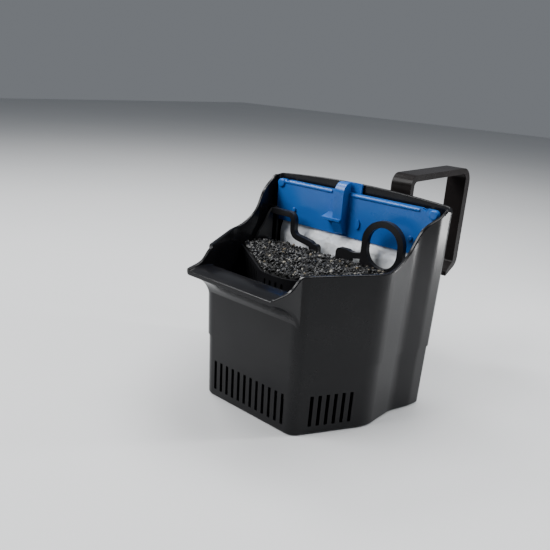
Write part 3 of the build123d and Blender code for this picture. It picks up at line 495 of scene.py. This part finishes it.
BAG_STEP = 1.45 * MM            # size of the cloth's squares
BAG_SEAM = 3.0 * MM
BAG_SKIN = 0.32 * MM            # half the thickness of the two sheets where they lie together
BAG_SWELL = 3.3 * MM            # how far a sheet may swell beyond that
BAG_EDGE = 9 * MM               # the swelling reaches its full height this far from a seam
GRIP = 0.6 * MM                 # the frame holds the sheets flat down to this far below its edge
GRIP_EASE = 5 * MM
CARBON_EASE = 5 * MM
CRIMP_DEPTH = 0.22 * MM
CRIMP_PITCH = 0.45 * MM
CLOTH_FRAMES = 18
STRANDS = 2600
STRAND_STEPS = 5


def bag_grid():
    """Two sheets joined at their edges: rows of places, faces, and which vertices the seams hold."""
    low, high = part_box("floss_bag")
    panel_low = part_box("cartridge_frame_front")[0].z
    slit = (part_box("cartridge_frame_front")[1].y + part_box("cartridge_frame_back")[0].y) / 2
    pouch_mid = (low.y + high.y) / 2
    across = np.linspace(low.x, high.x, int((high.x - low.x) / BAG_STEP))
    upward = np.linspace(low.z, high.z, int((high.z - low.z) / BAG_STEP))
    ease = np.clip((upward - (panel_low - 9 * MM)) / (8 * MM), 0, 1)
    middle = pouch_mid + (slit - pouch_mid) * ease ** 2 * (3 - 2 * ease)
    columns, rows = len(across), len(upward)
    places, held = [], []
    for side in (-1, 1):
        for z, y in zip(upward, middle):
            for x in across:
                seam = min(x - low.x, high.x - x, z - low.z) < BAG_SEAM
                places.append((x, y + side * BAG_SKIN, z))
                held.append(seam or z > panel_low - GRIP)
    faces = []
    for sheet in range(2):
        start = sheet * rows * columns
        for r in range(rows - 1):
            for c in range(columns - 1):
                a = start + r * columns + c
                quad = (a, a + 1, a + columns + 1, a + columns)
                faces.append(quad if sheet == 0 else quad[::-1])
    edge = [(0, c) for c in range(columns)] + [(r, columns - 1) for r in range(1, rows)]
    edge += [(rows - 1, c) for c in range(columns - 2, -1, -1)] + [(r, 0) for r in range(rows - 2, 0, -1)]
    for (r0, c0), (r1, c1) in zip(edge, edge[1:] + edge[:1]):
        a, b = r0 * columns + c0, r1 * columns + c1
        faces.append((a, a + rows * columns, b + rows * columns, b))
    return np.array(places), faces, held


def inflated(piece, held):
    """Lets the sheets between the seams swell and pucker, and returns the new places."""
    group = piece.vertex_groups.new(name="held")
    group.add([i for i, is_held in enumerate(held) if is_held], 1.0, "REPLACE")
    cloth = piece.modifiers.new("cloth", "CLOTH")
    settings = cloth.settings
    settings.quality = 6
    settings.mass = 0.12
    settings.tension_stiffness = 12
    settings.compression_stiffness = 12
    settings.shear_stiffness = 4
    settings.bending_stiffness = 0.4
    settings.use_pressure = True
    settings.uniform_pressure_force = 2.2
    settings.shrink_min = -0.05
    settings.vertex_group_mass = "held"
    settings.effector_weights.gravity = 0.0
    scene = bpy.context.scene
    for number in range(1, CLOTH_FRAMES + 1):
        scene.frame_set(number)
    graph = bpy.context.evaluated_depsgraph_get()
    settled = bpy.data.meshes.new_from_object(piece.evaluated_get(graph))
    places = np.array([vertex.co for vertex in settled.vertices])
    piece.modifiers.remove(cloth)
    piece.vertex_groups.clear()
    scene.frame_set(1)
    bpy.data.meshes.remove(settled)
    return places


def room_for_carbon(places):
    """How far each sheet stays from the bag's middle so that the pellets lie inside."""
    low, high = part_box("carbon_fill")
    past_side = np.maximum(low.x - places[:, 0], places[:, 0] - high.x)
    past_end = np.maximum(low.z - places[:, 2], places[:, 2] - high.z)
    past = np.maximum(np.maximum(past_side, past_end), 0)
    return ((high.y - low.y) / 2 + 0.5 * MM) * np.clip(1 - past / CARBON_EASE, 0, 1)


def make_floss_bag():
    """White bag: a puckered pouch below the frame, flat where the frame grips it, with crimped seams."""
    low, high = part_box("floss_bag")
    panel_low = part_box("cartridge_frame_front")[0].z
    start, faces, held = bag_grid()
    bag = mesh_piece("floss_pouch", start, faces, FLOSS)
    per_sheet = len(start) // 2
    side = np.repeat([-1.0, 1.0], per_sheet)
    middle = np.tile((start[:per_sheet, 1] + start[per_sheet:, 1]) / 2, 2)
    edge = np.minimum(np.minimum(start[:, 0] - low.x, high.x - start[:, 0]), start[:, 2] - low.z)
    inner = edge - BAG_SEAM
    sink = np.clip((panel_low - GRIP - start[:, 2]) / GRIP_EASE, 0, 1)
    allowed = BAG_SKIN + BAG_SWELL * np.sqrt(np.clip(inner / BAG_EDGE, 0, 1) * sink)
    least = np.minimum(room_for_carbon(start), allowed)
    places = inflated(bag, held)
    swell = np.clip(side * (places[:, 1] - middle) / allowed, 0, 1)
    places[:, 1] = middle + side * (least + (allowed - least) * swell)
    crimp = (inner < 0) & (start[:, 2] < panel_low)
    places[crimp, 1] += CRIMP_DEPTH * np.sin((start[crimp, 0] + start[crimp, 2]) / CRIMP_PITCH)
    places[:, 0] = np.clip(places[:, 0], low.x, high.x)
    places[:, 2] = np.maximum(places[:, 2], low.z)
    for vertex, place, toward, depth, open_part in zip(bag.data.vertices, places, side, inner, sink):
        lump = noise.noise(Vector(place) / (4 * MM)) + 0.5 * noise.noise(Vector(place) / (1.7 * MM))
        soft = 0.3 * MM * lump * min(1.0, max(0.0, depth / (2 * MM)))
        vertex.co = Vector(place) + Vector((0, toward * soft, 0)) * open_part
    subdivide = bag.modifiers.new("smooth", "SUBSURF")
    subdivide.levels = subdivide.render_levels = 1
    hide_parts("floss_bag")
    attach(bag, "cartridge")
    make_floss_fibres(bag, panel_low)


def make_floss_fibres(bag, panel_low):
    """Loose filaments that lie on the pouch."""
    rng = np.random.default_rng(SEED + 2)
    tree = BVHTree.FromPolygons([v.co for v in bag.data.vertices], [p.vertices for p in bag.data.polygons])
    low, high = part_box("floss_bag")
    verts, faces = [], []
    for number in range(STRANDS):
        front = number % 5 != 0
        x = rng.uniform(low.x + 2 * MM, high.x - 2 * MM)
        z = rng.uniform(low.z + 2 * MM, panel_low - 1.5 * MM)
        heading = rng.uniform(0, 2 * math.pi)
        bend = rng.normal(0, 0.5)
        length = rng.uniform(3.0, 8.0) * MM
        lift = rng.uniform(0.05, 0.35) * MM
        radius = rng.uniform(0.035, 0.06) * MM
        side = -1 if front else 1
        for step in range(STRAND_STEPS):
            t = step / (STRAND_STEPS - 1)
            hit = tree.ray_cast(Vector((x, 0.05 + side * 0.05, z)), Vector((0, -side, 0)))[0]
            if hit is None or z > panel_low - 1.2 * MM:
                break
            centre = Vector((x, hit.y + side * (lift * math.sin(math.pi * t) + 0.02 * MM), z))
            for corner in range(3):
                angle = corner * 2 * math.pi / 3
                across = Vector((-math.sin(heading), 0, math.cos(heading))) * math.cos(angle)
                verts.append(centre + (across + Vector((0, side * math.sin(angle), 0))) * radius)
            if step:
                last = len(verts) - 6
                for corner in range(3):
                    nxt = (corner + 1) % 3
                    faces.append((last + corner, last + nxt, last + 3 + nxt, last + 3 + corner))
            heading += bend / STRAND_STEPS
            x += math.cos(heading) * length / STRAND_STEPS
            z += math.sin(heading) * length / STRAND_STEPS
    fibres = mesh_piece("floss_filaments", verts, faces, FLOSS)
    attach(fibres, "cartridge")


# ---------------------------------------------------------------- pump and rubber pieces

WIRE = 0.29 * MM                # half the wire's thickness
LOOP_POINTS = 36
COIL_DEPTH = 3.4 * MM           # thickness of the layers under the visible one
CUP_RADIUS = 14.0
CUP_DEPTH = 12.4
# A cup's outline from its nose to its mouth: radius and distance from the nose, in mm.
CUP_OUTLINE = [
    (0.0, 0.0), (3.0, 0.0), (3.4, 0.1), (4.2, 1.0), (4.2, 2.6), (3.0, 2.62), (3.0, 4.98), (5.0, 5.0),
    (5.2, 5.2), (5.25, 6.2), (6.0, 7.0), (8.0, 7.5), (10.2, 8.2), (12.2, 9.5), (13.5, 11.1), (14.0, 12.0),
    (13.9, 12.3), (13.5, 12.35), (12.6, 11.3), (11.0, 10.4), (8.5, 9.4), (5.5, 8.7), (2.5, 8.4), (0.0, 8.4),
]


def rounded_loop(x, y, radius, count):
    """Points round a rectangle with round corners, evenly spaced, as (x, y) pairs."""
    (x0, x1), (y0, y1) = x, y
    straight = [(x1 - radius - x0 - radius), (y1 - radius - y0 - radius)] * 2
    quarter = radius * math.pi / 2
    starts = [(x0 + radius, y0), (x1, y0 + radius), (x1 - radius, y1), (x0, y1 - radius)]
    total = sum(straight) + 4 * quarter
    points = []
    for i in range(count):
        left = i / count * total
        side = 0
        while left > straight[side] + quarter:
            left -= straight[side] + quarter
            side += 1
        angle = side * math.pi / 2
        along = Vector((math.cos(angle), math.sin(angle)))
        start = Vector(starts[side])
        if left <= straight[side]:
            points.append(start + along * left)
        else:
            turn = (left - straight[side]) / radius
            inward = Vector((-along.y, along.x))
            middle = start + along * straight[side] + inward * radius
            points.append(middle - inward * radius * math.cos(turn) + along * radius * math.sin(turn))
    return points


def tube_mesh(path, radius, sides):
    """Vertices and faces of a round tube along a list of points."""
    verts, faces = [], []
    for i, point in enumerate(path):
        ahead = path[min(i + 1, len(path) - 1)] - path[max(i - 1, 0)]
        out = ahead.cross(Vector((0, 0, 1))).normalized()
        lift = out.cross(ahead).normalized()
        for corner in range(sides):
            angle = corner * 2 * math.pi / sides
            verts.append(point + (out * math.cos(angle) + lift * math.sin(angle)) * radius)
        if i:
            last = (i - 1) * sides
            for corner in range(sides):
                nxt = (corner + 1) % sides
                faces.append((last + corner, last + nxt, last + sides + nxt, last + sides + corner))
    faces.append(tuple(range(sides))[::-1])
    faces.append(tuple(range(len(verts) - sides, len(verts))))
    return verts, faces


def make_coil():
    """Copper wire wound in one visible layer over the layers below it."""
    low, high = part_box("stator_coil")
    turns = int((high.z - low.z) / (2 * WIRE))
    edge = WIRE * 1.02
    loop = rounded_loop((low.x + edge, high.x - edge), (low.y + edge, high.y - edge), 2.4 * MM, LOOP_POINTS)
    rise = (high.z - low.z - 2 * WIRE) / (turns * LOOP_POINTS)
    path = []
    for i in range(turns * LOOP_POINTS):
        x, y = loop[i % LOOP_POINTS]
        path.append(Vector((x, y, low.z + WIRE + i * rise)))
    verts, faces = tube_mesh(path, WIRE, 6)
    coil = mesh_piece("coil_winding", verts, faces, COPPER)
    under = shell_block("coil_layers", low, high, 2 * WIRE)
    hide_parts("stator_coil")
    for piece in (coil, under):
        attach(piece, "housing")


def shell_block(name, low, high, inset):
    """Rounded rectangular tube just inside the outer layer of the coil."""
    count = LOOP_POINTS
    outer = rounded_loop((low.x + inset, high.x - inset), (low.y + inset, high.y - inset), 2.0 * MM, count)
    reach = inset + COIL_DEPTH
    inner = rounded_loop((low.x + reach, high.x - reach), (low.y + reach, high.y - reach), 0.4 * MM, count)
    verts = []
    for z in (low.z + 0.2 * MM, high.z - 0.2 * MM):
        verts += [(x, y, z) for x, y in outer] + [(x, y, z) for x, y in inner]
    faces = []
    for i in range(count):
        j = (i + 1) % count
        faces.append((i, j, 2 * count + j, 2 * count + i))
        faces.append((count + j, count + i, 3 * count + i, 3 * count + j))
        faces.append((j, i, count + i, count + j))
        faces.append((2 * count + i, 2 * count + j, 3 * count + j, 3 * count + i))
    return mesh_piece(name, verts, faces, COPPER, smooth=False)


def lathe_y(name, profile, centre, material, steps=64):
    """Solid of revolution about a line along Y; the profile is (radius, y) pairs from axis to axis."""
    verts, faces = [], []
    rings = []
    for radius, y in profile:
        if radius == 0:
            rings.append([len(verts)])
            verts.append((centre[0], y, centre[1]))
            continue
        rings.append(list(range(len(verts), len(verts) + steps)))
        for i in range(steps):
            angle = i * 2 * math.pi / steps
            verts.append((centre[0] + radius * math.cos(angle), y, centre[1] + radius * math.sin(angle)))
    for here, there in zip(rings, rings[1:]):
        for i in range(steps):
            j = (i + 1) % steps
            if len(here) == 1:
                faces.append((here[0], there[j], there[i]))
            elif len(there) == 1:
                faces.append((here[i], here[j], there[0]))
            else:
                faces.append((here[i], here[j], there[j], there[i]))
    return mesh_piece(name, verts, faces, material)


def make_cups():
    """Suction cups with a rounded skirt, a thin lip and a neck that snaps into the base."""
    low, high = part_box("suction_cups")
    radius = (high.z - low.z) / 2
    centre_z = (high.z + low.z) / 2
    wide, deep = radius / CUP_RADIUS, (high.y - low.y) / CUP_DEPTH
    profile = [(r * wide, low.y + depth * deep) for r, depth in CUP_OUTLINE]
    for side, name in ((-1, "suction_cup_left"), (1, "suction_cup_right")):
        x = side * (high.x - radius)
        cup = lathe_y(name, profile, (x, centre_z), CUP)
        if side < 0:
            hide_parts("suction_cups")
        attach(cup, "housing")


# ---------------------------------------------------------------- materials of the object

BLACK = moulded_plastic("tub_black", (0.004, 0.004, 0.005), (0.007, 0.007, 0.008), (0.18, 0.25), shine=0.2)
BLACK_MATT = moulded_plastic("pump_black", (0.012, 0.012, 0.013), (0.02, 0.02, 0.021), (0.42, 0.6))
BRACKET = moulded_plastic(
    "bracket_black", (0.008, 0.007, 0.007), (0.013, 0.011, 0.011), (0.24, 0.32), shine=0.08)
SCRUBBER = moulded_plastic(
    "scrubber_black", (0.006, 0.006, 0.007), (0.010, 0.010, 0.011), (0.26, 0.38), shine=0.25)
BLUE = moulded_plastic("cartridge_blue", (0.006, 0.085, 0.34), (0.009, 0.105, 0.39), (0.24, 0.34), shine=0.4)
NYLON = moulded_plastic("bobbin_nylon", (0.62, 0.58, 0.47), (0.72, 0.69, 0.58), (0.35, 0.5))
ACETAL = moulded_plastic("impeller_acetal", (0.66, 0.66, 0.62), (0.78, 0.78, 0.74), (0.3, 0.42))
CERAMIC = moulded_plastic(
    "ground_ceramic", (0.74, 0.73, 0.68), (0.84, 0.83, 0.79), (0.12, 0.22), (0.12, 0.002))
FERRITE = moulded_plastic("ferrite", (0.035, 0.035, 0.038), (0.06, 0.06, 0.063), (0.4, 0.62), (0.2, 0.02))
RESIN = moulded_plastic(
    "potting_resin", (0.008, 0.008, 0.009), (0.015, 0.014, 0.013), (0.08, 0.2), wave=(9.0, 0.08))
RUBBER = soft_rubber("black_rubber", (0.014, 0.014, 0.015))
CUP = soft_rubber("cup_rubber", (0.022, 0.022, 0.024))
STAINLESS = bare_metal("stainless", (0.45, 0.45, 0.46), (0.62, 0.62, 0.62), (0.22, 0.36), (1.0, 1.0, 0.2))
COPPER = bare_metal("enamelled_copper", (0.55, 0.20, 0.07), (0.72, 0.32, 0.13), (0.18, 0.32))
SHEETS = stacked_sheets()
GRANULE = granule_material()
# Painted shade: near-black fill that shows between the grains in place of deeper grains in shade.
MEDIA_PAINTED_SHADE = moulded_plastic(
    "media_shadow", (0.004, 0.004, 0.004), (0.012, 0.012, 0.012), (0.6, 0.9), (0.8, 0.3))
CARBON = moulded_plastic("carbon_black", (0.006, 0.006, 0.006), (0.02, 0.02, 0.02), (0.5, 0.8), (0.4, 0.05))
FLOSS = floss_material()

FINISHES = [
    (BLACK, ("filter_tub", "base_housing")),
    (BLACK_MATT, ("pump_case", "volute_cover", "outlet_duct", "intake_screen")),
    (BRACKET, ("hanging_bracket",)),
    (SCRUBBER, ("scrubber_frame", "basket_curtain")),
    (BLUE, ("cartridge_frame_front", "cartridge_frame_back")),
    (NYLON, ("coil_bobbin",)),
    (ACETAL, ("impeller",)),
    (CERAMIC, ("impeller_shaft", "thrust_washers")),
    (FERRITE, ("rotor_magnet",)),
    (RESIN, ("pump_end_cap",)),
    (RUBBER, ("cord_gland", "volute_seal", "front_bush", "rear_bush", "riser_seal", "pump_pads")),
    (STAINLESS, ("base_screws", "cover_screws")),
    (SHEETS, ("stator_core",)),
]
# Width of the rounded edges of each hard part, in mm. The tub's are in the frame already.
EDGE_ROUNDS = {
    "base_housing": 0.35, "hanging_bracket": 0.8, "scrubber_frame": 0.6, "basket_curtain": 0.25,
    "cartridge_frame_front": 0.4, "cartridge_frame_back": 0.35, "pump_case": 0.6, "volute_cover": 0.4,
    "outlet_duct": 0.4, "pump_end_cap": 0.4, "stator_core": 0.2, "coil_bobbin": 0.15, "impeller": 0.2,
    "base_screws": 0.15, "cover_screws": 0.15, "cord_gland": 0.2, "riser_seal": 0.3, "intake_screen": 0.15,
}

make_stage()
make_lights()
make_camera()
for material, nodes in FINISHES:
    for node in nodes:
        paint(node, material)
for node, width in EDGE_ROUNDS.items():
    soften_edges(node, width)
make_media()
make_carbon()
make_floss_bag()
make_coil()
make_cups()
